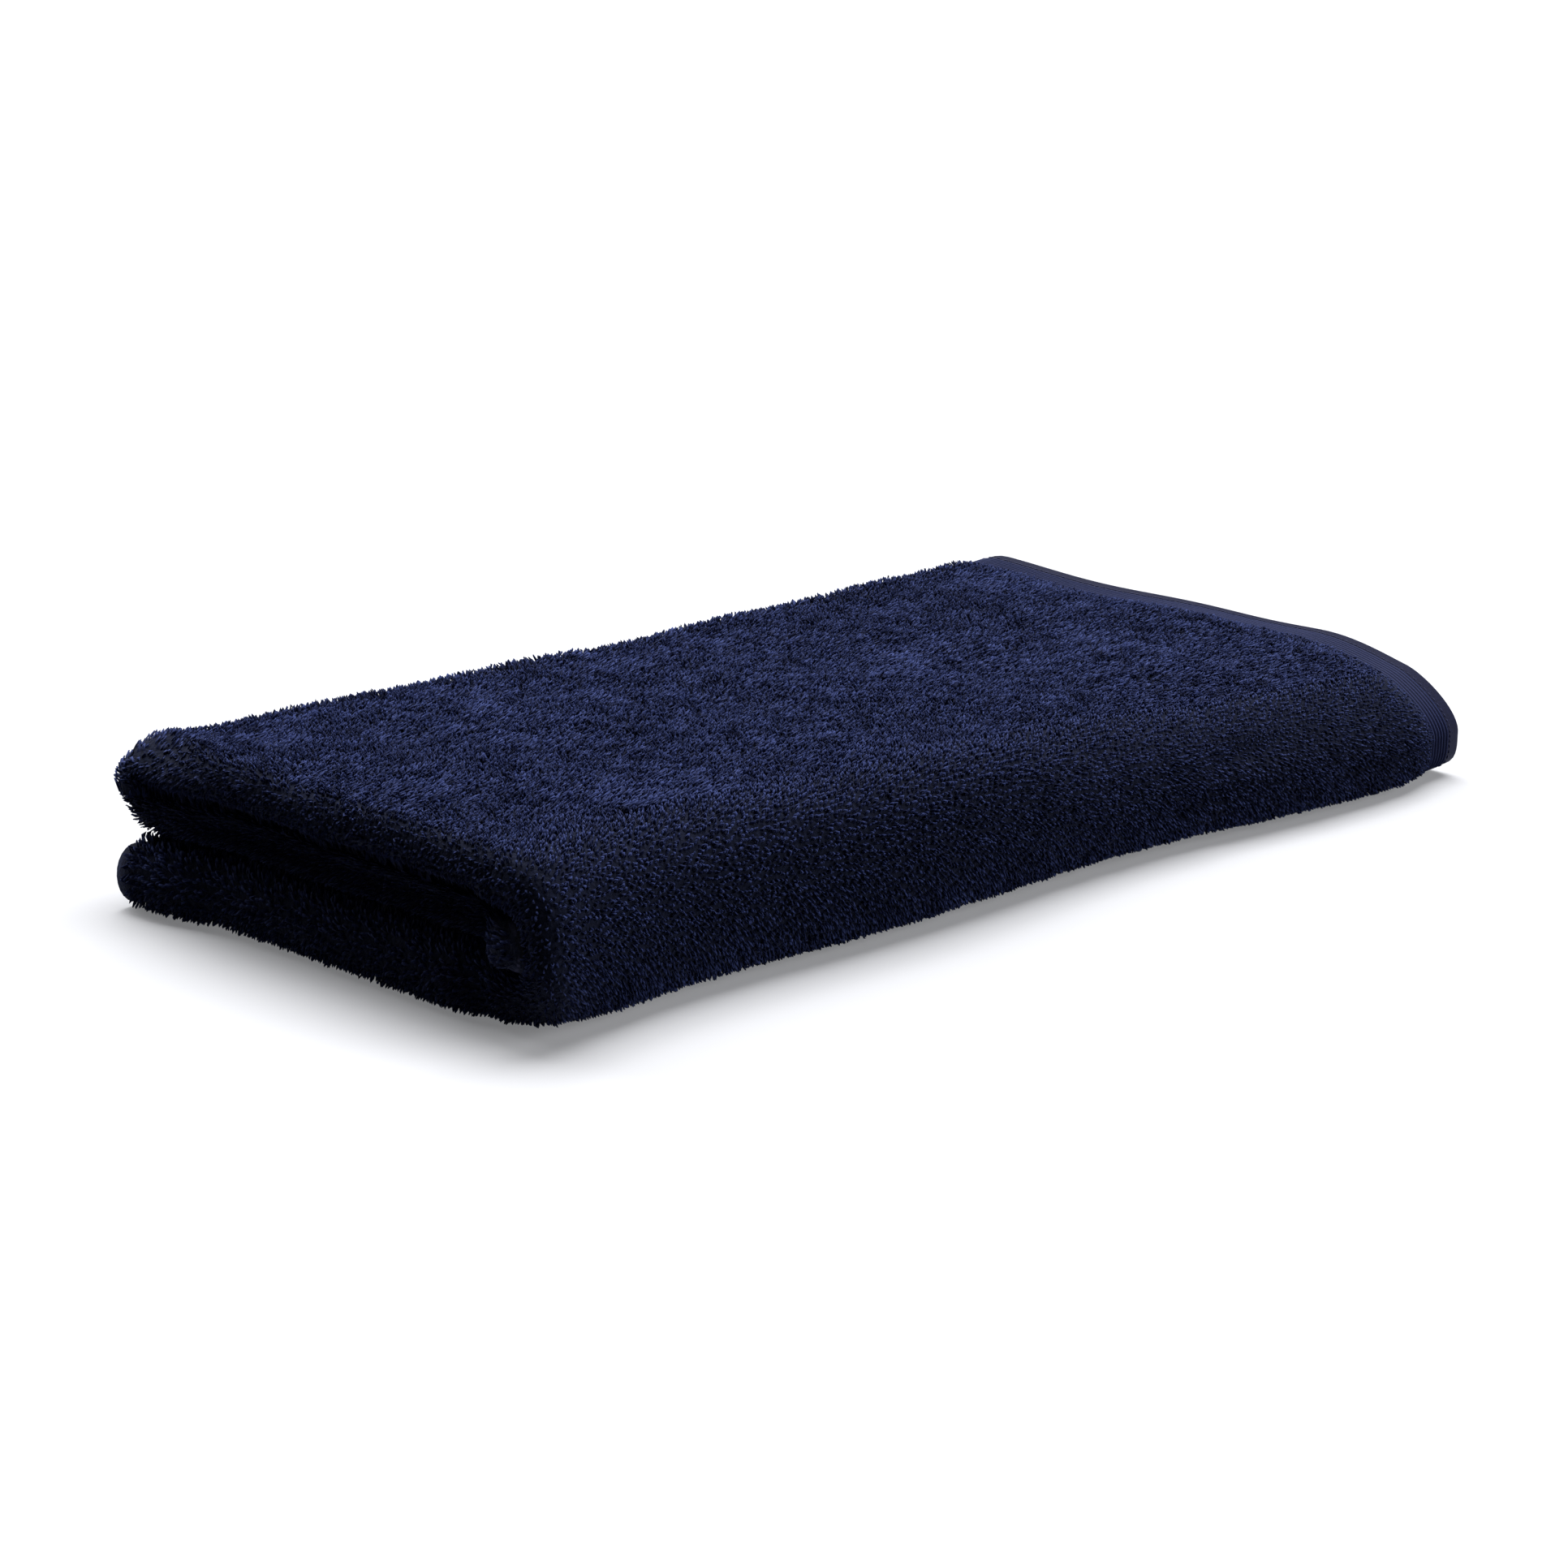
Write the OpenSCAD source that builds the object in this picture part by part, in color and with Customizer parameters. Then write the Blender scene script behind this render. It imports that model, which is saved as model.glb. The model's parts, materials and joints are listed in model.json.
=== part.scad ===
// Bath towel, folded: one terry cloth, folded in half along its length, then letter-folded
// in three across its width and turned over, so that it lies as six layers of cloth.
//
// X runs along the folded towel, from the doubled end (-X) to the hemmed end (+X).
// Y runs from the round front fold (-Y) to the back, and Z is up from the surface it lies on.
// Pairs of layers, from below: bottom, middle, top. The front fold joins bottom to top, and
// the back fold joins top to middle. The front fold opens about two creases along X.

/* [Folded towel] */
// Length of the folded towel, half of the cloth's length
folded_len = 750; // [600:10:900]
// Width of the folded towel, front fold to back fold
folded_w = 354; // [300:2:420]
// Thickness of one layer of terry, pile included
layer_t = 15; // [10:0.1:16]
// Room between two pairs of layers
slip = 0.4; // [0.3:0.1:1]

/* [Woven ends] */
// Width of the ribbed border between the pile and the hem
border_w = 19; // [12:1:30]
// Thickness of the border's flat weave
border_t = 4; // [2:0.5:6]
// Width of the turned hem at the cloth's ends
hem_w = 12; // [8:1:20]
// Thickness of the turned hem
hem_t = 5; // [3:0.5:8]

/* [Side hems] */
// Width of the narrow hem along the cloth's long edges
side_hem_w = 8; // [5:1:12]
// Thickness of the side hem
side_hem_t = 6; // [3:0.5:8]
// How far the bottom pair's free edge stays inside the back
back_inset = 12; // [4:1:30]

/* [Stitching] */
// Thickness of the sewing thread along the hems
thread_d = 1; // [0.6:0.1:1.5]

/* [Hidden] */
$fn = 96;
cloth = [0.10, 0.12, 0.24];
cloth_inner = [0.08, 0.10, 0.20];
border_colour = [0.12, 0.14, 0.27];
hem_colour = [0.16, 0.16, 0.28];
thread_colour = [0.20, 0.20, 0.34];

pair_t = 2 * layer_t;
middle_z = pair_t + slip;
top_z = 2 * middle_z;
stack_h = top_z + pair_t;

// The front fold: a half ring of two layers around the middle pair's free edge
front_r = stack_h / 2;
front_y = front_r - folded_w / 2;
front_z = front_r;

// The back fold: a half ring that turns the top pair into the middle pair
back_r = pair_t + slip / 2;
back_y = folded_w / 2 - back_r;
back_z = top_z - slip / 2;

// Creases of the front fold: the fold's neutral line is unrolled as two bends of 90 degrees
neutral_r = front_r - layer_t;
crease_offset = neutral_r * PI / 4;
crease_y = front_y - crease_offset;
lower_crease_z = front_z - crease_offset;
upper_crease_z = front_z + crease_offset;
crease_gap = 0.5;

bottom_edge_y = folded_w / 2 - back_inset;
middle_edge_y = front_y;

end_x = folded_len / 2;
hem_x = end_x - hem_w;
pile_x = hem_x - border_w;
doubled_x = layer_t - end_x;
far = folded_w;

// ---- Shared shapes -------------------------------------------------------

// Extrudes a section drawn as (y, z) along X, from x0 to x1
module along_x(x0, x1) {
    translate([x0, 0, 0]) rotate([90, 0, 90]) linear_extrude(x1 - x0) children();
}

// A flat layer's section, t thick about height z
module flat(y0, y1, z, t) {
    translate([y0, z - t / 2]) square([y1 - y0, t]);
}

// A ring's section about a fold's centre, t thick about radius r
module ring(y, z, r, t) {
    translate([y, z]) difference() {
        circle(r + t / 2);
        circle(r - t / 2);
    }
}

// The three regions of the front fold's section, parted at the creases. Outside each crease
// a quarter is left open, so that the fold can flatten.
module lower_region() {
    polygon([[crease_y, -1], [crease_y, lower_crease_z], [front_y, front_z], [front_y, -1]]);
}

module upper_region() {
    translate([0, 2 * front_z]) mirror([0, 1]) lower_region();
}

module front_region() {
    low = lower_crease_z + crease_gap;
    high = upper_crease_z - crease_gap;
    polygon([[-far, low], [crease_y, low], [front_y - crease_gap, front_z],
             [crease_y, high], [-far, high]]);
}

// The back half of the back fold
module back_region() {
    translate([back_y, 0]) square([far, far]);
}

// Sections of one layer in each part of the towel. The layer's depth is counted from the
// outer face of its pair, and t is its thickness.
module bottom_section(depth, t, edge) {
    flat(front_y, edge, depth, t);
    intersection() {
        ring(front_y, front_z, front_r - depth, t);
        lower_region();
    }
}

module front_section(depth, t) {
    intersection() {
        ring(front_y, front_z, front_r - depth, t);
        front_region();
    }
}

module top_section(depth, t) {
    flat(front_y, back_y, stack_h - depth, t);
    intersection() {
        ring(front_y, front_z, front_r - depth, t);
        upper_region();
    }
}

module back_section(depth, t) {
    intersection() {
        ring(back_y, back_z, back_r - depth, t);
        back_region();
    }
}

module middle_section(depth, t, edge) {
    flat(edge, back_y, middle_z + depth, t);
}

// Middle of the outer and of the inner layer of a pair
outer = layer_t / 2;
inner = layer_t * 3 / 2;

// ---- Doubled end: the lengthwise fold of each pair -----------------------

// Half-round edge of a flat pair whose lower face is at height z
module flat_doubled_end(y0, y1, z) {
    translate([doubled_x, y0, z + layer_t]) rotate([-90, 0, 0]) difference() {
        cylinder(h = y1 - y0, r = layer_t);
        translate([0, -far, -1]) cube([far, 2 * far, far * 2]);
    }
}

// Half-round edge of a pair that turns about the line (y, z), with its middle at radius r
module turned_doubled_end(y, z, r) {
    translate([doubled_x, y, z]) rotate([0, -90, 0]) rotate_extrude() intersection() {
        translate([r, 0]) circle(layer_t);
        square([far, far]);
    }
}

// The front fold's doubled end, within one region of its section
module front_fold_doubled_end() {
    color(cloth) intersection() {
        turned_doubled_end(front_y, front_z, neutral_r);
        along_x(-end_x - 1, doubled_x + 1) children();
    }
}

module bottom_doubled_end() { color(cloth) flat_doubled_end(front_y, bottom_edge_y, 0); }
module bottom_doubled_corner() { front_fold_doubled_end() lower_region(); }
module front_doubled_end() { front_fold_doubled_end() front_region(); }
module top_doubled_corner() { front_fold_doubled_end() upper_region(); }
module top_doubled_end() { color(cloth) flat_doubled_end(front_y, back_y, top_z); }

module back_doubled_end() {
    color(cloth) intersection() {
        turned_doubled_end(back_y, back_z, back_r - layer_t);
        along_x(-end_x - 1, doubled_x + 1) back_region();
    }
}

module middle_doubled_end() {
    color(cloth_inner) flat_doubled_end(middle_edge_y, back_y, middle_z);
}

// ---- Terry panels --------------------------------------------------------

module panel(colour = cloth) {
    color(colour) along_x(doubled_x, pile_x) children();
}

module bottom_outer_panel() { panel() bottom_section(outer, layer_t, bottom_edge_y - side_hem_w); }
module bottom_inner_panel() {
    panel(cloth_inner) bottom_section(inner, layer_t, bottom_edge_y - side_hem_w);
}
module front_outer_panel() { panel() front_section(outer, layer_t); }
module front_inner_panel() { panel(cloth_inner) front_section(inner, layer_t); }
module top_outer_panel() { panel() top_section(outer, layer_t); }
module top_inner_panel() { panel(cloth_inner) top_section(inner, layer_t); }
module back_outer_panel() { panel() back_section(outer, layer_t); }
module back_inner_panel() { panel(cloth_inner) back_section(inner, layer_t); }
module middle_upper_panel() {
    panel(cloth_inner) middle_section(inner, layer_t, middle_edge_y + side_hem_w);
}
module middle_lower_panel() {
    panel(cloth_inner) middle_section(outer, layer_t, middle_edge_y + side_hem_w);
}

// ---- Ribbed borders ------------------------------------------------------

module border() {
    color(border_colour) along_x(pile_x, hem_x) children();
}

module bottom_outer_border() { border() bottom_section(outer, border_t, bottom_edge_y); }
module bottom_inner_border() { border() bottom_section(inner, border_t, bottom_edge_y); }
module front_outer_border() { border() front_section(outer, border_t); }
module front_inner_border() { border() front_section(inner, border_t); }
module top_outer_border() { border() top_section(outer, border_t); }
module top_inner_border() { border() top_section(inner, border_t); }
module back_outer_border() { border() back_section(outer, border_t); }
module back_inner_border() { border() back_section(inner, border_t); }
module middle_upper_border() { border() middle_section(inner, border_t, middle_edge_y); }
module middle_lower_border() { border() middle_section(outer, border_t, middle_edge_y); }

// ---- End hems ------------------------------------------------------------

module hem() {
    color(hem_colour) along_x(hem_x, end_x) children();
}

module bottom_outer_hem() { hem() bottom_section(outer, hem_t, bottom_edge_y); }
module bottom_inner_hem() { hem() bottom_section(inner, hem_t, bottom_edge_y); }
module front_outer_hem() { hem() front_section(outer, hem_t); }
module front_inner_hem() { hem() front_section(inner, hem_t); }
module top_outer_hem() { hem() top_section(outer, hem_t); }
module top_inner_hem() { hem() top_section(inner, hem_t); }
module back_outer_hem() { hem() back_section(outer, hem_t); }
module back_inner_hem() { hem() back_section(inner, hem_t); }
module middle_upper_hem() { hem() middle_section(inner, hem_t, middle_edge_y); }
module middle_lower_hem() { hem() middle_section(outer, hem_t, middle_edge_y); }

// ---- Side hems along the cloth's long edges ------------------------------

module side_hem() {
    color(hem_colour) along_x(doubled_x, pile_x) children();
}

module bottom_outer_side_hem() {
    side_hem() flat(bottom_edge_y - side_hem_w, bottom_edge_y, outer, side_hem_t);
}
module bottom_inner_side_hem() {
    side_hem() flat(bottom_edge_y - side_hem_w, bottom_edge_y, inner, side_hem_t);
}
module middle_upper_side_hem() {
    side_hem() flat(middle_edge_y, middle_edge_y + side_hem_w, middle_z + inner, side_hem_t);
}
module middle_lower_side_hem() {
    side_hem() flat(middle_edge_y, middle_edge_y + side_hem_w, middle_z + outer, side_hem_t);
}

// ---- Hem stitching: a thread laid along the border's outer face ----------

stitch_x = hem_x - thread_d;
stitch_depth = outer - border_t / 2 - thread_d / 2;

module stitching() {
    color(thread_colour) along_x(stitch_x, stitch_x + thread_d) children();
}

module top_hem_thread() { stitching() top_section(stitch_depth, thread_d); }
module front_hem_thread() { stitching() front_section(stitch_depth, thread_d); }
module bottom_hem_thread() { stitching() bottom_section(stitch_depth, thread_d, bottom_edge_y); }

// ---- Output --------------------------------------------------------------

bottom_outer_panel();
bottom_inner_panel();
bottom_doubled_end();
bottom_doubled_corner();
bottom_outer_border();
bottom_inner_border();
bottom_outer_hem();
bottom_inner_hem();
bottom_outer_side_hem();
bottom_inner_side_hem();
front_outer_panel();
front_inner_panel();
front_doubled_end();
front_outer_border();
front_inner_border();
front_outer_hem();
front_inner_hem();
top_outer_panel();
top_inner_panel();
top_doubled_end();
top_doubled_corner();
top_outer_border();
top_inner_border();
top_outer_hem();
top_inner_hem();
back_outer_panel();
back_inner_panel();
back_doubled_end();
back_outer_border();
back_inner_border();
back_outer_hem();
back_inner_hem();
middle_upper_panel();
middle_lower_panel();
middle_doubled_end();
middle_upper_border();
middle_lower_border();
middle_upper_hem();
middle_lower_hem();
middle_upper_side_hem();
middle_lower_side_hem();
top_hem_thread();
front_hem_thread();
bottom_hem_thread();
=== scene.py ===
import json
import math

import bpy
import numpy as np
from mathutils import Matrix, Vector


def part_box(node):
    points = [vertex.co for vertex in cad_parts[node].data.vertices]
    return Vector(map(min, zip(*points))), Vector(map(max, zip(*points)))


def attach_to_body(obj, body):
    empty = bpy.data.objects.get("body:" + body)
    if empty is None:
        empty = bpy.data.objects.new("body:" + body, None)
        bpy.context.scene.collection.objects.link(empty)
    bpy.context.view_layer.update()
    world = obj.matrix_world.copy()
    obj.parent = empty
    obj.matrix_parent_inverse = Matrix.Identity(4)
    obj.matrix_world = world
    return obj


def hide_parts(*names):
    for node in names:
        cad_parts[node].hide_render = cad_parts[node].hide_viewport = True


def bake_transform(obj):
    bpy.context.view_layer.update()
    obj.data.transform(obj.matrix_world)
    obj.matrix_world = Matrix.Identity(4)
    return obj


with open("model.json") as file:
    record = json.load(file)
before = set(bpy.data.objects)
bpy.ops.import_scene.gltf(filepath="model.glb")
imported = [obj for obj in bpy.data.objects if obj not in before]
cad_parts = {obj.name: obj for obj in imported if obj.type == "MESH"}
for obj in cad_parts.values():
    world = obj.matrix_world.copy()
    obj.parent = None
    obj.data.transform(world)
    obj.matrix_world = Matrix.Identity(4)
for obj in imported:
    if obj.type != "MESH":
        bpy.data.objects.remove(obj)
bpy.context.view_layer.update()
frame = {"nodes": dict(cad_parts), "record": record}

rng = np.random.default_rng(7)

# ---- The frame's own sizes, in metres -------------------------------------


def node_box(name):
    """Lowest and highest corner of a CAD node."""
    low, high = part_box(name)
    return np.array(low), np.array(high)


joints = {joint["name"]: joint for joint in frame["record"]["behaviour"]["joints"]}
CREASE_Y = joints["front_fold_opening"]["pos_m"][1]
LOWER_CREASE_Z = joints["front_fold_opening"]["pos_m"][2]
UPPER_CREASE_Z = joints["top_flap_opening"]["pos_m"][2]

MIDDLE_LOW, MIDDLE_HIGH = node_box("middle_upper_panel")
LAYER = MIDDLE_HIGH[2] - MIDDLE_LOW[2]
STACK = node_box("top_outer_panel")[1][2]
DOUBLED_X = MIDDLE_LOW[0]
PILE_X = MIDDLE_HIGH[0]
HEM_X = node_box("top_outer_hem")[0][0]
END_X = node_box("top_outer_hem")[1][0]
HALF_WIDTH = node_box("back_outer_panel")[1][1]

# The front fold turns about (FRONT_Y, FRONT_Z), and the back fold about (BACK_Y, BACK_Z)
FRONT_R = STACK / 2
FRONT_Z = FRONT_R
FRONT_Y = CREASE_Y + (UPPER_CREASE_Z - LOWER_CREASE_Z) / 2
BACK_LOW, BACK_HIGH = node_box("back_outer_panel")
BACK_Y = BACK_LOW[1]
BACK_Z = (BACK_LOW[2] + BACK_HIGH[2]) / 2
BACK_R = (BACK_HIGH[2] - BACK_LOW[2]) / 2
BOTTOM_EDGE_Y = node_box("bottom_outer_side_hem")[1][1]
MIDDLE_EDGE_Y = node_box("middle_upper_side_hem")[0][1]

# Half a layer: the radius at which the ground weave turns round the doubled end
TURN = LAYER / 2
PILE_V = PILE_X - DOUBLED_X + TURN * math.pi / 2
HEM_V = PILE_V + HEM_X - PILE_X
END_V = PILE_V + END_X - PILE_X

# Knots of the cloth's way across the width, measured along the middle of a pair
KNOTS = np.cumsum([
    0,
    BOTTOM_EDGE_Y - FRONT_Y,
    math.pi * (FRONT_R - LAYER),
    BACK_Y - FRONT_Y,
    math.pi * (BACK_R - LAYER),
    BACK_Y - MIDDLE_EDGE_Y,
])
FRONT_START, FRONT_END, BACK_START, BACK_END = KNOTS[1:5]
FRONT_MIDDLE = (FRONT_START + FRONT_END) / 2
WIDTH = KNOTS[5]

# ---- The towel's own sizes -------------------------------------------------

GROUND = 0.0046       # half the thickness of the ground cloth with its matted loop roots
THINNING = 0.0017     # how much thinner it is where it meets the woven border
TAPER = 0.022         # length over which it thins
PILE_PITCH = 0.0021   # spacing of the loops that show
FOLD_PITCH = 0.0022   # spacing round the front fold, where the outer face is stretched
HIDDEN_PITCH = 0.0034  # spacing of the loops that only show once the towel is opened
FLOOR_PITCH = 0.0050  # spacing of the loops that it lies on
LOOP_HEIGHT = 0.0036  # height of a loop over its root, which is inside the ground cloth
LOOP_WIDTH = 0.0009   # distance between a loop's two feet
STRAND_R = 0.00052    # radius of a loop's strand
ROOT = 0.0006         # depth of a loop's foot in the ground cloth
CLUMP = 0.009         # size of the clumps in which loops lie the same way
PATCH = 0.014         # size of the patches of taller and shorter loops
DRIFT = 0.05          # size of the broad changes in how the loops lie
NAP = -0.2            # the way that the loops lie, turned from straight across the width
HEM_R = 0.0028        # half the thickness of every hem
SIDE_HEM = 0.008      # width of the narrow hem along the cloth's long edges
RIBS = 8              # ribs across the woven border
RIB_VALLEY = 0.0017   # half the thickness of the border between its ribs
RIB_RISE = 0.0016     # height of a rib over that
BORDER_LAP = 0.006    # how far the border goes on under the pile
STITCH = 0.0032       # length of one stitch
STITCH_R = 0.00045    # its radius
STITCH_GAP = 1.15     # from one stitch to the next, in lengths of a stitch
STITCH_RISE = 0.0030  # height of its middle over the ground weave
STITCH_IN = 0.0012    # how far the stitches run inside the hem
SHARP = math.radians(70)  # edges that turn by more than this aren't shaded as round

# Height of the settled stack at its front, middle and back, at three places along it
TOP_AT_DOUBLED_END = (0.098, 0.101, 0.097)
TOP_AT_MIDDLE = (0.088, 0.091, 0.094)
TOP_AT_HEMS = (0.071, 0.081, 0.097)

# Small creases in the slack front fold: place along X, height, length and width
CREASES = [
    (0.262, 0.026, 0.016, 0.0035),
    (0.135, 0.030, 0.030, 0.006),
    (0.185, 0.052, 0.035, 0.008),
]
CREASE_DEPTH = 0.0055
CREASE_TILT = 0.10     # rise of a crease over its run

# The front fold's slump towards the hems, and the small swell all over the top
SLUMP_DEPTH = 0.018
SWELL = 0.0008

# How square the folds are: 2 is round. The front one is slack above towards the hems, and full below
FRONT_SQUARE_ABOVE = 3.0
FRONT_SLACK_ABOVE = 1.3
FRONT_SQUARE_BELOW = 2.7
FRONT_FULL_BELOW = 1.3
BACK_SQUARE = 3.2

# The doubled end: how far apart its pairs spread, and how far each roll stands back along X
END_SPREAD = 0.74
MIDDLE_ROLL_BACK = 0.024
LOWEST_ROLL_BACK = 0.009
LOWEST_ROLL_OUT = 0.012        # taken off again at the back of the towel
TOP_BACK_CORNER = 0.023
MIDDLE_BACK_CORNER = 0.0085
LOWEST_FRONT_CORNER = (0.027, 0.016)    # along X and along Y

# In plan: how far the front and the back lie off a straight line at the doubled end, at the
# middle and at the hems, the front's waves, and how far the hems run short at the back
FRONT_BOW = (-0.015, 0.0045, 0.0035)
BACK_BOW = (0.005, 0.0, 0.014)
FRONT_WAVE = 0.0055
HEM_DRAW = 0.048

# How far the middle pair's free edge is pushed into the front fold, and from how far back
FILL_DEPTH = 0.024
FILL_LENGTH = 0.07

# ---- Where the cloth lies --------------------------------------------------


def smooth(value):
    """Smooth step from 0 to 1."""
    t = np.clip(value, 0, 1)
    return t * t * (3 - 2 * t)


def cloth_point(s, v, n):
    """Point of the cloth, as folded and before it settles.

    s runs across the cloth's width, from the bottom's free edge to the middle's; v runs along
    its length and is 0 at the doubled end, negative on outer layers and positive on inner
    ones; n is the height over the ground weave on the face that shows.
    """
    turn = np.clip(v / TURN, -math.pi / 2, math.pi / 2)
    straight = np.maximum(np.abs(v) - TURN * math.pi / 2, 0)
    x = DOUBLED_X + straight - (TURN + n) * np.cos(turn)
    depth = LAYER + (TURN + n) * np.sin(turn)
    y = np.interp(s, KNOTS, [BOTTOM_EDGE_Y, FRONT_Y, FRONT_Y, BACK_Y, BACK_Y, MIDDLE_EDGE_Y])
    facing = cloth_facing(s)
    behind = s > BACK_START
    z = np.where(behind, BACK_Z, FRONT_Z)
    radius = np.where(behind, BACK_R, FRONT_R) - depth
    return np.stack([x, y + radius * np.cos(facing), z + radius * np.sin(facing)], -1)


def cloth_facing(s):
    """Angle, in the Y-Z plane, that the outer face looks along at s."""
    return np.interp(s, KNOTS, np.radians([-90, -90, -270, -270, -450, -450]))


def cloth_axes(s, v):
    """Unit vectors at (s, v): out of the face that shows, along s, and along v."""
    facing = cloth_facing(s)
    turn = np.clip(v / TURN, -math.pi / 2, math.pi / 2)
    zero = np.zeros_like(facing)
    out = np.stack([zero, np.cos(facing), np.sin(facing)], -1)
    along_s = np.stack([zero, np.sin(facing), -np.cos(facing)], -1)
    x_axis = np.array([1.0, 0, 0])
    sine, cosine = np.sin(turn)[..., None], np.cos(turn)[..., None]
    normal = -cosine * x_axis - sine * out
    along_v = sine * x_axis - cosine * out
    return normal, along_s, along_v


def through(t, first, middle, last):
    """The smooth curve with the given values at t = 0, 0.5 and 1."""
    return first * (2 * t - 1) * (t - 1) + middle * 4 * t * (1 - t) + last * t * (2 * t - 1)


def squared(y, z, centre_y, centre_z, side, power):
    """Turns the round section of a fold into a squarer one; side is -1 in front, 1 behind."""
    across, up = (y - centre_y) * side, z - centre_z
    reach = np.hypot(across, up) + 1e-9
    shape = (np.abs(across) / reach) ** power + (np.abs(up) / reach) ** power
    scale = np.where(across > 0, shape ** (-1 / power), 1.0)
    return centre_y + across * side * scale, centre_z + up * scale


def top_height(along, over, y, slump):
    """Height of the settled stack; the front fold slumps towards the hems."""
    top = through(along, *[through(over, *heights)
                           for heights in (TOP_AT_DOUBLED_END, TOP_AT_MIDDLE, TOP_AT_HEMS)])
    swell = SWELL * (np.sin(31 * along + 9 * over) + np.sin(17 * along - 19 * over + 2))
    return top + swell - SLUMP_DEPTH * slump * smooth(-(y + 0.06) / 0.165)


def end_shift(x, y, height, to_left):
    """How far the doubled end's three rolls stand back: along X, and along Y in front."""
    middle = np.exp(-((height - 0.5) / 0.15) ** 2)
    lowest = height < 0.34
    inside = smooth((y - FRONT_Y) / 0.025)
    at_back = smooth((y - 0.08) / 0.06)
    edge = smooth(1 - (x + END_X) / 0.05)
    shift = MIDDLE_ROLL_BACK * middle * to_left * inside * (1 - at_back)
    shift = shift + edge * lowest * inside * (LOWEST_ROLL_BACK - LOWEST_ROLL_OUT * at_back)
    top = smooth((height - 0.7) / 0.3)
    shift = shift + edge * at_back * (TOP_BACK_CORNER * top + MIDDLE_BACK_CORNER * middle)

    # The lowest corner in front is rounded off
    corner = smooth(1 - (x + END_X) / 0.08) * smooth(-(y + 0.08) / 0.08) * (1 - smooth(2 * height))
    return shift + LOWEST_FRONT_CORNER[0] * corner, LOWEST_FRONT_CORNER[1] * corner


def creases(x, y, z):
    """How far the outer layer of the front sinks in at the small creases near the hems."""
    depth = 0.0
    for place, height, length, width in CREASES:
        tilted = z - height - CREASE_TILT * (x - place)
        depth = depth + np.exp(-((x - place) / length) ** 2 - (tilted / width) ** 2)
    outside = smooth((FRONT_Y - FRONT_R + 0.020 - y) / 0.012)
    return CREASE_DEPTH * depth * outside


def fill_fold(y, z):
    """Pushes the middle pair's free edge, which is round, into the hollow of the front fold."""
    free = (y > FRONT_Y) | (np.hypot(y - FRONT_Y, z - FRONT_Z) < LAYER)
    rounded = np.clip(1 - ((z - FRONT_Z) / LAYER) ** 2, 0, 1)
    return y - FILL_DEPTH * free * rounded * smooth((FRONT_Y + FILL_LENGTH - y) / FILL_LENGTH)


def settle(points):
    """Moves points of the folded cloth to where the soft, uneven towel really lies."""
    x, y, z = points[..., 0], points[..., 1], points[..., 2]
    y = fill_fold(y, z)
    height = z / STACK
    along = (x + END_X) / (2 * END_X)
    over = np.clip((y + HALF_WIDTH) / (2 * HALF_WIDTH), 0, 1)
    to_left = smooth(1 - (x + END_X) / 0.10)
    to_right = smooth((x - 0.15) / (END_X - 0.15))
    slump = smooth((x + 0.08) / 0.30)

    # Both folds are squarer than round; at the hems the front one is fuller below than above
    above = z > FRONT_Z
    power = np.where(above, FRONT_SQUARE_ABOVE - FRONT_SLACK_ABOVE * slump,
                     FRONT_SQUARE_BELOW + FRONT_FULL_BELOW * to_right)
    y, z = squared(y, z, FRONT_Y, FRONT_Z, -1, power)
    y, z = squared(y, z, BACK_Y, BACK_Z, 1, BACK_SQUARE)
    new_z = z / STACK * top_height(along, over, y, slump)

    # At the doubled end the pairs spread: a thick lowest roll and a gap under the top one
    spread = np.interp(height, [0, 0.33, 0.335, 0.665, 0.67, 1], [0, 0.49, 0.51, 0.66, 0.74, 1.0])
    inside = smooth((y - FRONT_Y) / 0.025)
    new_z = new_z + to_left * inside * (spread - height) * STACK * END_SPREAD
    end_x, end_y = end_shift(x, y, height, to_left)

    # In plan the front wanders in and out, and the hems run short at the back
    wave = FRONT_WAVE * np.sin(2 * math.pi * along) + FRONT_WAVE * np.sin(4 * math.pi * along)
    front = smooth(-y / 0.15) * (through(along, *FRONT_BOW) + wave)
    back = smooth(y / 0.15) * through(along, *BACK_BOW)
    new_x = x + end_x - HEM_DRAW * to_right * smooth((y + 0.08) / 0.27)

    # Nothing goes below the surface that the towel lies on
    new_y = y + end_y + front + back + creases(x, y, new_z)
    return np.stack([new_x, new_y, np.maximum(new_z, 0.0002)], -1)


# ---- Mesh making -----------------------------------------------------------


def new_object(name, points, faces, material):
    """Makes a mesh object from points and an array of faces with equal corner counts."""
    mesh = bpy.data.meshes.new(name)
    count, corners = faces.shape
    mesh.vertices.add(len(points))
    mesh.vertices.foreach_set("co", points.astype(np.float32).ravel())
    mesh.loops.add(count * corners)
    mesh.loops.foreach_set("vertex_index", faces.astype(np.int32).ravel())
    mesh.polygons.add(count)
    mesh.polygons.foreach_set("loop_start", np.arange(0, count * corners, corners, dtype=np.int32))
    mesh.polygons.foreach_set("use_smooth", np.full(count, True))
    mesh.update(calc_edges=True)
    mesh.validate()
    mesh.materials.append(material)
    obj = bpy.data.objects.new(name, mesh)
    bpy.context.scene.collection.objects.link(obj)
    return obj


def woven_object(name, points, faces, material):
    """Makes a piece of flat weave, whose cut ends and edges stay crisp."""
    obj = new_object(name, points, faces, material)
    obj.data.set_sharp_from_angle(angle=SHARP)
    return obj


def add_tone_and_painted_shade(obj, values):
    """Gives each point of a mesh a value from 0 to 1 for its material's colour: painted shade, and on
    the pile also a tone that differs at random.
    """
    attribute = obj.data.attributes.new("tone_and_painted_shade", "FLOAT", "POINT")
    attribute.data.foreach_set("value", values.astype(np.float32))


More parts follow.
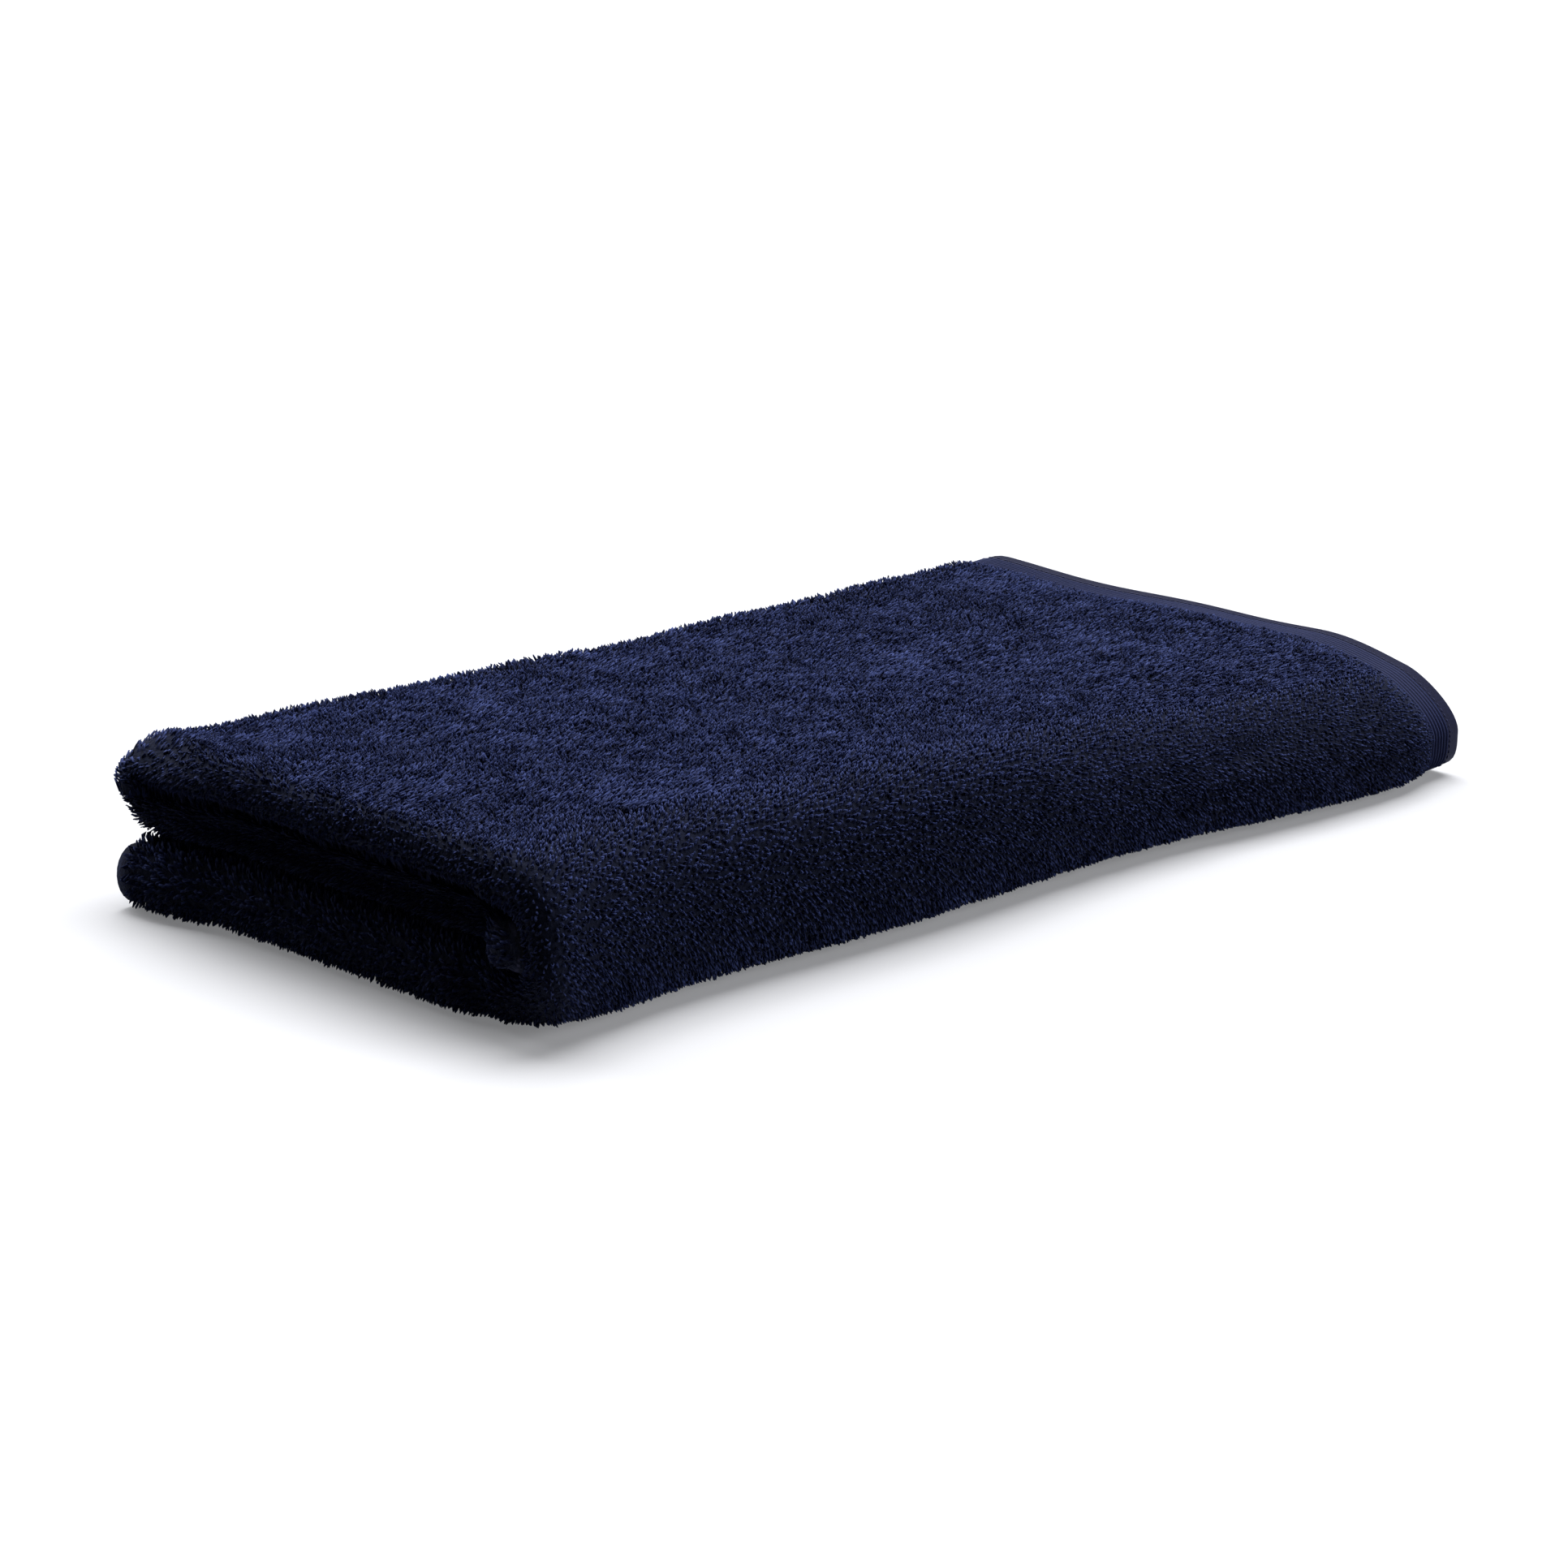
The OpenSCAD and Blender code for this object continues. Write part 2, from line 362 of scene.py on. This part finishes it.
def grid_faces(rows, columns, start=0, flip=False):
    """Quads of a grid of points, row by row."""
    index = start + np.arange(rows * columns).reshape(rows, columns)
    quads = np.stack([index[:-1, :-1], index[1:, :-1], index[1:, 1:], index[:-1, 1:]], -1)
    quads = quads.reshape(-1, 4)
    return quads[:, ::-1] if flip else quads


def shell(s, v, top, under):
    """Closed shell over the grid of s and v, between the heights top and under."""
    grid_s, grid_v = np.meshgrid(s, v, indexing="ij")
    above = cloth_point(grid_s, grid_v, top)
    below = cloth_point(grid_s, grid_v, under)
    points = np.concatenate([above.reshape(-1, 3), below.reshape(-1, 3)])
    rows, columns = grid_s.shape
    size = rows * columns
    faces = [grid_faces(rows, columns, flip=True), grid_faces(rows, columns, size)]
    index = np.arange(size).reshape(rows, columns)
    edges = [index[:, 0], index[-1, :], index[::-1, -1], index[0, ::-1]]
    rim = np.concatenate([edge[:-1] for edge in edges])
    following = np.roll(rim, -1)
    faces.append(np.stack([rim, following, following + size, rim + size], -1))
    return points, np.concatenate(faces)


def join(parts):
    """Joins (points, faces) pairs into one."""
    offsets = np.cumsum([0] + [len(points) for points, _ in parts[:-1]])
    points = np.concatenate([points for points, _ in parts])
    faces = np.concatenate([faces + offset for (_, faces), offset in zip(parts, offsets)])
    return points, faces


def across(start, end, flat_step=0.007, turn_step=0.0028):
    """Values of s from start to end, closer together round the folds."""
    values = [start]
    for low, high in zip(KNOTS[:-1], KNOTS[1:]):
        low, high = max(low, start), min(high, end)
        if high - low < 1e-6:
            continue
        turning = (FRONT_START <= low < FRONT_END) or (BACK_START <= low < BACK_END)
        step = turn_step if turning else flat_step
        values.extend(np.linspace(low, high, max(2, math.ceil((high - low) / step)))[1:])
    return np.array(values)


def lengthwise(step=0.008):
    """Values of v over both layers, closer together round the doubled end."""
    bend = TURN * math.pi / 2
    side = np.linspace(bend, PILE_V, math.ceil((PILE_V - bend) / step))
    return np.concatenate([-side[::-1], np.linspace(-bend, bend, 13)[1:-1], side])


# ---- Materials -------------------------------------------------------------


def fabric(name, roughness, sheen, sheen_tint, sheen_roughness=0.45):
    """A cloth material with its shader's fixed values set; returns material, tree, shader."""
    material = bpy.data.materials.new(name)
    material.use_nodes = True
    tree = material.node_tree
    shader = tree.nodes["Principled BSDF"]
    shader.inputs["Roughness"].default_value = roughness
    shader.inputs["Specular IOR Level"].default_value = 0.15
    shader.inputs["Sheen Weight"].default_value = sheen
    shader.inputs["Sheen Roughness"].default_value = sheen_roughness
    shader.inputs["Sheen Tint"].default_value = (*sheen_tint, 1)
    return material, tree, shader


def colour_ramp(tree, source, dark, light, low=0.3, high=0.7):
    """Ramps a grey value between two colours."""
    ramp = tree.nodes.new("ShaderNodeValToRGB")
    ramp.color_ramp.elements[0].position = low
    ramp.color_ramp.elements[0].color = (*dark, 1)
    ramp.color_ramp.elements[1].position = high
    ramp.color_ramp.elements[1].color = (*light, 1)
    tree.links.new(source, ramp.inputs["Fac"])
    return ramp.outputs["Color"]


def object_noise(tree, scale, detail=3.0):
    """A noise value that follows the object's own coordinates."""
    coordinates = tree.nodes.new("ShaderNodeTexCoord")
    noise = tree.nodes.new("ShaderNodeTexNoise")
    noise.inputs["Scale"].default_value = scale
    noise.inputs["Detail"].default_value = detail
    tree.links.new(coordinates.outputs["Object"], noise.inputs["Vector"])
    return noise.outputs["Fac"]


def add_bump(tree, shader, height, strength, distance):
    """Raises the shader's normal by a height value."""
    bump = tree.nodes.new("ShaderNodeBump")
    bump.inputs["Strength"].default_value = strength
    bump.inputs["Distance"].default_value = distance
    tree.links.new(height, bump.inputs["Height"])
    tree.links.new(bump.outputs["Normal"], shader.inputs["Normal"])


def pile_material():
    """Navy cotton loops: each loop has its own tone, held in the mesh with painted shade that darkens
    it towards its feet and lightens its top.
    """
    material, tree, shader = fabric("terry_pile", 0.8, 0.03, (0.9, 0.95, 1.0))
    tone_and_painted_shade = tree.nodes.new("ShaderNodeAttribute")
    tone_and_painted_shade.attribute_name = "tone_and_painted_shade"
    # Dark end: painted shade at the loops' feet; light, greyer end: painted highlight and sheen on
    # their tops
    colour = colour_ramp(tree, tone_and_painted_shade.outputs["Fac"], (0.001, 0.004, 0.032), (0.056, 0.080, 0.245),
                         0.0, 1.0)
    tree.links.new(colour, shader.inputs["Base Color"])
    return material


def ground_material():
    """The ground cloth with the loops' matted roots: far darker than the loops, as painted shade for
    the gaps between them, with a fine grain.
    """
    material, tree, shader = fabric("terry_ground_painted_shade", 0.95, 0.1, (0.4, 0.5, 1.0))
    grain = object_noise(tree, 420.0)
    # Much darker than the loops: painted shade for the gaps between them, varied by a fine grain
    colour = colour_ramp(tree, grain, (0.002, 0.003, 0.010), (0.006, 0.009, 0.028))
    tree.links.new(colour, shader.inputs["Base Color"])
    add_bump(tree, shader, grain, 0.9, 0.0015)
    return material


def weave_material(name, dark, light, sheen):
    """Flat woven cotton: fine threads with a little unevenness."""
    material, tree, shader = fabric(name, 0.7, sheen, (0.55, 0.55, 0.9), 0.35)
    fine = object_noise(tree, 900.0, 2.0)
    colour = colour_ramp(tree, fine, dark, light)
    tree.links.new(colour, shader.inputs["Base Color"])
    add_bump(tree, shader, fine, 0.5, 0.0004)
    return material


def rib_material():
    """Ribbed weave with fine threads: painted shade held in the mesh makes the ribs' ridges light and
    the valleys between them dark.
    """
    material, tree, shader = fabric("ribbed_border", 0.7, 0.02, (0.55, 0.6, 1.0), 0.35)
    tone_and_painted_shade = tree.nodes.new("ShaderNodeAttribute")
    tone_and_painted_shade.attribute_name = "tone_and_painted_shade"
    # Dark valleys and light ridges: painted shade that follows the ribs' relief
    colour = colour_ramp(tree, tone_and_painted_shade.outputs["Fac"], (0.002, 0.003, 0.014), (0.028, 0.038, 0.118),
                         0.1, 0.9)
    tree.links.new(colour, shader.inputs["Base Color"])
    add_bump(tree, shader, object_noise(tree, 900.0, 2.0), 0.5, 0.0004)
    return material


# ---- Cloth, borders, hems --------------------------------------------------


def ground(v):
    """Half the thickness of the ground cloth, which thins towards the woven border."""
    return GROUND - THINNING * smooth((np.abs(v) - PILE_V + TAPER) / TAPER)


def cloth_piece(name, start, end, material):
    """The ground cloth of both layers between two values of s."""
    v = lengthwise()
    points, faces = shell(across(start, end), v, ground(v), -ground(v))
    return new_object(name, settle(points), faces, material)


def strip(start, end, from_v, to_v, steps, top, under):
    """Both layers' strip of flat weave between from_v and to_v from the doubled end.

    top and under give the heights of the two faces for a place from 0 to 1 across the strip.
    """
    place = np.linspace(0, 1, steps)
    v = from_v + place * (to_v - from_v)
    s = across(start, end)
    outer_layer = shell(s, -v[::-1], top(place[::-1]), under(place[::-1]))
    inner_layer = shell(s, v, top(place), under(place))
    return join([outer_layer, inner_layer])


def border_piece(name, start, end, material):
    """The ribbed border between the pile and the hem."""
    def ridge(place):
        return np.abs(np.sin(place * RIBS * math.pi)) ** 1.5

    def ribs(place):
        return RIB_VALLEY + RIB_RISE * ridge(place)

    def back(place):
        return -ribs(place)

    steps = RIBS * 8 + 1
    points, faces = strip(start, end, PILE_V - BORDER_LAP, HEM_V, steps, ribs, back)
    obj = woven_object(name, settle(points), faces, material)
    # The ribs' ridges read light and their valleys dark: painted shade, held in the mesh
    add_tone_and_painted_shade(obj, np.tile(ridge(np.linspace(0, 1, steps)), len(points) // steps))
    return obj


def hem_piece(name, start, end, material):
    """The end hem: cloth turned over twice, with a rounded outer edge."""
    def upper(place):
        return HEM_R * np.sqrt(np.clip(1 - np.maximum((place - 0.85) / 0.15, 0) ** 2, 0.05, 1))

    def lower(place):
        return -upper(place)

    points, faces = strip(start, end, HEM_V - 0.0004, END_V, 12, upper, lower)
    return woven_object(name, settle(points), faces, material)


def side_hem_piece(name, start, end, material):
    """The narrow hem along one of the cloth's long edges, over both layers."""
    s = np.linspace(start, end, 11)
    place = np.abs(np.linspace(-1, 1, 11))
    half = HEM_R * np.sqrt(np.clip(1 - place ** 4, 0.06, 1))[:, None]
    points, faces = shell(s, lengthwise(0.004), GROUND - HEM_R + half, -half)
    return woven_object(name, settle(points), faces, material)


def capsule(length, radius, sides=6):
    """A stitch: a short round-ended strand along X, as points and quads."""
    stations = np.array([-0.5, -0.36, 0, 0.36, 0.5]) * length
    radii = np.array([0.25, 0.9, 1.0, 0.9, 0.25]) * radius
    angle = np.arange(sides) * 2 * math.pi / sides
    ring = np.stack([np.cos(angle), np.sin(angle)], -1)
    points = np.concatenate([
        np.column_stack([np.full(sides, station), ring * size])
        for station, size in zip(stations, radii)])
    index = np.arange(len(points)).reshape(len(stations), sides)
    following = np.roll(index, -1, axis=1)
    quads = np.stack([index[:-1], following[:-1], following[1:], index[1:]], -1)
    return points, quads.reshape(-1, 4)


def stitch_piece(name, start, end, material):
    """A row of stitches along the hem's inner edge, on the outer layer's outer face."""
    centres = np.arange(start + STITCH / 2, end, STITCH * STITCH_GAP)
    stitch, quads = capsule(STITCH, STITCH_R)
    v = np.full_like(centres, -(HEM_V + STITCH_IN))
    base = cloth_point(centres, v, np.full_like(centres, STITCH_RISE))
    normal, along_s, along_v = cloth_axes(centres, v)
    points = (base[:, None] + along_s[:, None] * stitch[None, :, :1]
              + normal[:, None] * stitch[None, :, 1:2] + along_v[:, None] * stitch[None, :, 2:3])
    offsets = np.arange(len(centres))[:, None, None] * len(stitch)
    faces = (quads[None] + offsets).reshape(-1, 4)
    return new_object(name, settle(points.reshape(-1, 3)), faces, material)


# ---- Pile ------------------------------------------------------------------


def soft_noise(a, b, cell):
    """Smooth random values over the plane of a and b, on cells of the given size."""
    u, w = a / cell, b / cell
    u, w = u - u.min(), w - w.min()
    table = rng.normal(0, 1, (int(u.max()) + 2, int(w.max()) + 2))
    i, j = u.astype(int), w.astype(int)
    fu, fw = smooth(u - i), smooth(w - j)
    low = table[i, j] * (1 - fw) + table[i, j + 1] * fw
    high = table[i + 1, j] * (1 - fw) + table[i + 1, j + 1] * fw
    return low * (1 - fu) + high * fu


def scatter(start, end, from_v, to_v, pitch):
    """Roots of the loops: rows across the cloth, each root pushed a little off its place."""
    s = np.arange(start + pitch / 2, end, pitch)
    v = np.arange(from_v + pitch / 2, to_v, pitch)
    grid_s, grid_v = np.meshgrid(s, v, indexing="ij")
    push = pitch * 0.42
    grid_s = grid_s + rng.uniform(-push, push, grid_s.shape)
    grid_v = grid_v + rng.uniform(-push, push, grid_v.shape)
    return np.clip(grid_s, start, end).ravel(), np.clip(grid_v, from_v, to_v).ravel()


# A loop's stations from foot to foot: place across it, in widths, height and lean, as fractions
# of its own, and strand thickness
LOOP_STATIONS = [
    (-0.50, 0.00, 0.00, 0.9),
    (-0.62, 0.60, 0.35, 1.0),
    (0.00, 1.00, 1.00, 1.2),
    (0.62, 0.55, 0.45, 1.0),
    (0.50, 0.00, 0.10, 0.9),
]
STRAND_SIDES = 3


def loops(s, v, size=1.0, lean=1.0, height=1.0):
    """Terry loops standing on the cloth at s, v; height is their share of the usual height.

    Returns their points, faces, each point's tone with painted shade, and its place on the flat cloth.
    """
    count = len(s)
    normal, along_s, along_v = cloth_axes(s, v)
    clump = soft_noise(s, v, CLUMP)
    drift = soft_noise(s, v, DRIFT)
    bearing = NAP + 0.40 * clump + 0.30 * drift + rng.normal(0, 0.45, count)
    hemward = np.sign(v + 1e-9)[:, None] * along_v
    nap = -np.cos(bearing)[:, None] * along_s + np.sin(bearing)[:, None] * hemward
    side = np.cross(normal, nap)
    tall = 1 + 0.15 * rng.normal(size=count) + 0.10 * soft_noise(s, v, PATCH)
    tall = size * height * LOOP_HEIGHT * np.clip(tall, 0.6, 1.4) * ground(v) / GROUND
    reach = lean * tall * np.clip(0.85 + 0.20 * drift + 0.25 * rng.normal(size=count), 0.1, 1.6)
    wide = size * LOOP_WIDTH * (1 + 0.2 * rng.normal(size=count))
    radius = size * STRAND_R * (1 + 0.12 * rng.normal(size=count))
    twist = rng.uniform(0, math.pi, count)
    plane = np.cos(twist)[:, None] * nap + np.sin(twist)[:, None] * side

    base = cloth_point(s, v, ground(v) - ROOT)
    centres = np.stack([
        base + (place * wide)[:, None] * plane + (rise * tall)[:, None] * normal
        + (forward * reach)[:, None] * nap
        for place, rise, forward, _ in LOOP_STATIONS], 1)
    way = np.gradient(centres, axis=1)
    way /= np.linalg.norm(way, axis=-1, keepdims=True)
    flank = np.cross(plane, nap * reach[:, None] + normal * tall[:, None])
    flank /= np.linalg.norm(flank, axis=-1, keepdims=True)
    flank = np.broadcast_to(flank[:, None], way.shape)
    over = np.cross(way, flank)
    thickness = np.array([station[3] for station in LOOP_STATIONS])[None, :, None]
    rings = []
    for corner in range(STRAND_SIDES):
        turn = corner * 2 * math.pi / STRAND_SIDES
        spoke = math.cos(turn) * flank + math.sin(turn) * over
        rings.append(centres + spoke * thickness * radius[:, None, None])
    points = np.stack(rings, 2).reshape(count, -1, 3)

    index = np.arange(points.shape[1]).reshape(len(LOOP_STATIONS), STRAND_SIDES)
    following = np.roll(index, -1, axis=1)
    quads = np.stack([index[:-1], following[:-1], following[1:], index[1:]], -1).reshape(-1, 4)
    faces = (quads[None] + np.arange(count)[:, None, None] * points.shape[1]).reshape(-1, 4)

    # Each loop gets a tone that differs at random, then painted shade that darkens it from its top down
    # towards its feet
    tone_and_painted_shade = 0.51 + 0.30 * rng.normal(size=count) + 0.10 * clump + 0.06 * drift
    rise = np.repeat([station[1] for station in LOOP_STATIONS], STRAND_SIDES)
    loop_tones_and_painted_shade = np.clip(tone_and_painted_shade[:, None] * (0.04 + 0.96 * rise[None] ** 1.4), 0, 1)
    offset = points - base[:, None]
    place_s = s[:, None] + (offset * along_s[:, None]).sum(-1)
    place_v = v[:, None] + (offset * along_v[:, None]).sum(-1)
    places = np.stack([place_s, place_v], -1)
    return points.reshape(-1, 3), faces, loop_tones_and_painted_shade.ravel(), places.reshape(-1, 2)


def add_cloth_map(obj, places):
    """Lays the mesh out for colour by its place on the flat cloth."""
    corners = np.empty(len(obj.data.loops), dtype=np.int32)
    obj.data.loops.foreach_get("vertex_index", corners)
    low, high = places.min(axis=0), places.max(axis=0)
    layout = obj.data.uv_layers.new(name="OFBake")
    layout.data.foreach_set("uv", ((places - low) / (high - low))[corners].astype(np.float32).ravel())


def pile_piece(name, s, v, material, **style):
    """One stretch of pile, as its own object."""
    points, faces, loop_tones_and_painted_shade, places = loops(s, v, **style)
    obj = new_object(name, settle(points), faces, material)
    # The loops' random tone and their painted shade
    add_tone_and_painted_shade(obj, loop_tones_and_painted_shade)
    add_cloth_map(obj, places)
    return obj


MOST_LOOPS = 8200      # in one piece
END_REACH = 0.03       # how far the finer pile goes on round the doubled end
# How the pile stands on top, at the doubled end, round the front fold and underneath. Where it
# only shows once the towel is opened, the loops are fewer and larger.
TOP_STYLE = {"lean": 0.8, "height": 0.9}
END_STYLE = {"lean": 0.4, "height": 0.85}
FOLD_STYLE = {"lean": 0.12, "height": 0.8}
FLOOR_STYLE = {"lean": 1.3}
HIDDEN_STYLE = {"size": 1.4}


def pile(name, start, end, from_v, to_v, pitch, material, **style):
    """Pile over a stretch of cloth, cut along its length into pieces of moderate size."""
    s, v = scatter(start, end, from_v, to_v, pitch)
    parts = math.ceil(len(s) / MOST_LOOPS)
    limits = np.linspace(from_v, to_v, parts + 1)
    which = np.clip(np.searchsorted(limits, v) - 1, 0, parts - 1)
    return [
        pile_piece(f"{name}_{part + 1}", s[which == part], v[which == part], material, **style)
        for part in range(parts)]


# ---- Camera, light, floor --------------------------------------------------

CAMERA_AZIMUTH = math.radians(-43.82)
CAMERA_ELEVATION = math.radians(15.58)
CAMERA_DISTANCE = 2.368
CAMERA_TARGET = np.array([-0.0108, 0.0242, 0.030])
CAMERA_LENS = 93.77
SURROUND_LIGHT = 0.004
FLOOR_GLOW = 0.18     # lifts the shadows on the white floor, as its own bounced light would


def add_camera():
    """The camera at the photograph's angle."""
    flat = math.cos(CAMERA_ELEVATION)
    towards = np.array([math.sin(CAMERA_AZIMUTH) * flat, -math.cos(CAMERA_AZIMUTH) * flat,
                        math.sin(CAMERA_ELEVATION)])
    data = bpy.data.cameras.new("camera")
    data.lens = CAMERA_LENS
    data.sensor_width = 36
    data.clip_end = 100
    camera = bpy.data.objects.new("camera", data)
    camera.location = CAMERA_TARGET + towards * CAMERA_DISTANCE
    camera.rotation_euler = (math.pi / 2 - CAMERA_ELEVATION, 0, CAMERA_AZIMUTH)
    bpy.context.scene.collection.objects.link(camera)
    bpy.context.scene.camera = camera


def add_sun(name, energy, azimuth, elevation, spread):
    """A broad, soft light from a direction: azimuth as the camera's, in degrees."""
    data = bpy.data.lights.new(name, "SUN")
    data.energy = energy
    data.angle = math.radians(spread)
    light = bpy.data.objects.new(name, data)
    light.rotation_euler = (math.radians(90 - elevation), 0, math.radians(azimuth))
    bpy.context.scene.collection.objects.link(light)


def add_stage():
    """A plain white floor with a faint glow, which lets the low fill light through, and a surround."""
    material = bpy.data.materials.new("floor")
    material.use_nodes = True
    shader = material.node_tree.nodes["Principled BSDF"]
    shader.inputs["Base Color"].default_value = (0.65, 0.655, 0.68, 1)
    shader.inputs["Emission Color"].default_value = (0.96, 0.97, 1.0, 1)
    shader.inputs["Emission Strength"].default_value = FLOOR_GLOW
    shader.inputs["Roughness"].default_value = 1.0
    shader.inputs["Specular IOR Level"].default_value = 0.0
    reach = 30.0
    corners = np.array([[-reach, -reach, 0], [reach, -reach, 0], [reach, reach, 0], [-reach, reach, 0]])
    floor = new_object("floor", corners, np.array([[0, 1, 2, 3]]), material)
    floor.visible_diffuse = False
    floor.visible_shadow = False

    world = bpy.data.worlds.new("surround")
    world.use_nodes = True
    tree = world.node_tree
    dim = tree.nodes["Background"]
    dim.inputs["Strength"].default_value = SURROUND_LIGHT
    white = tree.nodes.new("ShaderNodeBackground")
    for background in (dim, white):
        background.inputs["Color"].default_value = (1, 1, 1, 1)
    ray = tree.nodes.new("ShaderNodeLightPath")
    mix = tree.nodes.new("ShaderNodeMixShader")
    tree.links.new(ray.outputs["Is Camera Ray"], mix.inputs["Fac"])
    tree.links.new(dim.outputs["Background"], mix.inputs[1])
    tree.links.new(white.outputs["Background"], mix.inputs[2])
    tree.links.new(mix.outputs["Shader"], tree.nodes["World Output"].inputs["Surface"])
    bpy.context.scene.world = world
    bpy.context.scene.view_settings.view_transform = "Standard"


# ---- The towel -------------------------------------------------------------

add_camera()
add_stage()
add_sun("key", 3.1, azimuth=103, elevation=73, spread=50)
add_sun("back", 1.9, azimuth=168, elevation=45, spread=60)
add_sun("fill", 1.45, azimuth=38, elevation=18, spread=40)

PILE = pile_material()
GROUND_CLOTH = ground_material()
BORDER = rib_material()
HEM = weave_material("plain_hem", (0.003, 0.004, 0.020), (0.008, 0.011, 0.046), 0.01)
THREAD = weave_material("sewing_thread", (0.03, 0.035, 0.09), (0.06, 0.07, 0.16), 0.1)

# Stretches of the cloth across its width: name, s from and to, bodies, and the CAD parts that
# each stands for
STRETCHES = {
    "bottom": (0, FRONT_START, ("bottom_panel",), ["bottom"]),
    "front_lower": (FRONT_START, FRONT_MIDDLE, ("bottom_panel", "front_fold"), ["front"]),
    "front_upper": (FRONT_MIDDLE, FRONT_END, ("front_fold", "top_flap"), []),
    "top": (FRONT_END, WIDTH, ("top_flap",), ["top", "back", "middle"]),
}
# The cloth's two long edges, as the stretch that ends in each and its narrow hem's s from and to
FREE_EDGES = {"bottom": (0, SIDE_HEM), "top": (WIDTH - SIDE_HEM, WIDTH)}


def attach(obj, bodies):
    """Makes a piece of a one-body stretch move with its body; a piece of a stretch over two bodies only
    has its place baked into its points.
    """
    if len(bodies) == 1:
        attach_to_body(obj, bodies[0])
    else:
        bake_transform(obj)


def pile_of(stretch, start, end):
    """The pile of one stretch, on the faces that show closed or open."""
    if stretch == "bottom":
        start += SIDE_HEM
        fields = [
            ("bottom_floor_pile", start, end, -PILE_V, -END_REACH, FLOOR_PITCH, FLOOR_STYLE),
            ("bottom_inner_pile", start, end, END_REACH, PILE_V, HIDDEN_PITCH, HIDDEN_STYLE),
            ("bottom_end_pile", start, end, -END_REACH, END_REACH, PILE_PITCH, END_STYLE),
        ]
    elif stretch == "top":
        end -= SIDE_HEM
        fields = [
            ("top_pile", start, BACK_END, -PILE_V, 0, PILE_PITCH, TOP_STYLE),
            ("middle_pile", BACK_END, end, -PILE_V, -END_REACH, HIDDEN_PITCH, HIDDEN_STYLE),
            ("middle_end_pile", BACK_END, end, -END_REACH, END_REACH, PILE_PITCH, END_STYLE),
            ("top_end_pile", start, BACK_END, 0, END_REACH, PILE_PITCH, END_STYLE),
        ]
    else:
        fields = [
            (f"{stretch}_pile", start, end, -PILE_V, END_REACH, FOLD_PITCH, FOLD_STYLE),
            (f"{stretch}_inner_pile", start, end, END_REACH, PILE_V, HIDDEN_PITCH, HIDDEN_STYLE),
        ]
    pieces = []
    for name, low, high, from_v, to_v, pitch, style in fields:
        pieces.extend(pile(name, low, high, from_v, to_v, pitch, PILE, **style))
    return pieces


def nodes_of(prefixes, *endings):
    """CAD nodes whose names start with a prefix and end with one of the endings."""
    return [name for name in frame["nodes"]
            if name.split("_")[0] in prefixes and name.endswith(endings)]


for stretch, (start, end, bodies, prefixes) in STRETCHES.items():
    cloth = cloth_piece(f"{stretch}_cloth", start, end, GROUND_CLOTH)
    border = border_piece(f"{stretch}_border", start, end, BORDER)
    hem = hem_piece(f"{stretch}_hem", start, end, HEM)
    stitches = stitch_piece(f"{stretch}_stitches", start, end, THREAD)
    piles = pile_of(stretch, start, end)
    trims = [border, hem, stitches]
    if prefixes:
        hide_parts(*nodes_of(prefixes, "panel", "end", "corner"))
        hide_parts(*nodes_of(prefixes, "border"))
        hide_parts(*[name for name in nodes_of(prefixes, "hem") if "side" not in name])
        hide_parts(*nodes_of(prefixes, "thread"))
    if stretch in FREE_EDGES:
        side_hem = side_hem_piece(f"{stretch}_side_hem", *FREE_EDGES[stretch], HEM)
        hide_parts(*nodes_of(prefixes, "side_hem"))
        trims.append(side_hem)
    for piece in [cloth, *trims, *piles]:
        attach(piece, bodies)
